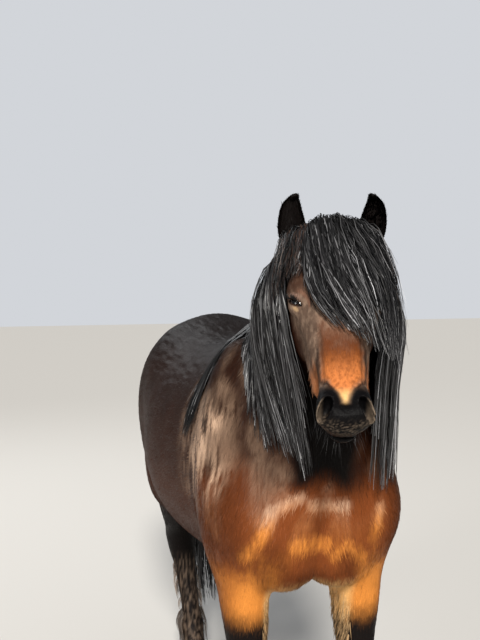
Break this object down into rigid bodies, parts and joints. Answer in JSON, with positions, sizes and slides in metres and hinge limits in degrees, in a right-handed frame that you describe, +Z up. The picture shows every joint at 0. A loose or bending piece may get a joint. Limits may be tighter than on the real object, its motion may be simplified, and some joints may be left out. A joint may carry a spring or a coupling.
{
  "type": "shetland pony",
  "caption": "Life-size standing shetland pony, bay with black mane, forelock and tail, head turned a little to its right, four hooves flat on the floor.",
  "frame": {"origin": "middle of the bounding box at floor level, under the four hooves", "axes": "+Z up; the pony faces -Y; its left side is +X"},
  "size_m": [0.4982, 1.5546, 1.325],
  "materials": {
    "coat": "short glossy dark bay coat",
    "face": "short coat, dark brown with an orange nose and a black muzzle",
    "mane": "long black hair with a soft sheen",
    "lower_leg": "short black coat with feather",
    "ear": "short black coat",
    "hoof": "worn dark horn",
    "eye": "wet dark brown"
  },
  "bodies": {
    "root": {"cannon_fore_left": "lower_leg", "cannon_fore_right": "lower_leg", "cannon_hind_left": "lower_leg", "cannon_hind_right": "lower_leg", "ear_left": "ear", "ear_right": "ear", "eye_left": "eye", "eye_right": "eye", "forearm_left": "coat", "forearm_right": "coat", "gaskin_left": "coat", "gaskin_right": "coat", "head": "face", "hoof_fore_left": "hoof", "hoof_fore_right": "hoof", "hoof_hind_left": "hoof", "hoof_hind_right": "hoof", "neck": "mane", "tail": "mane", "torso": "coat"}
  },
  "joints": []
}
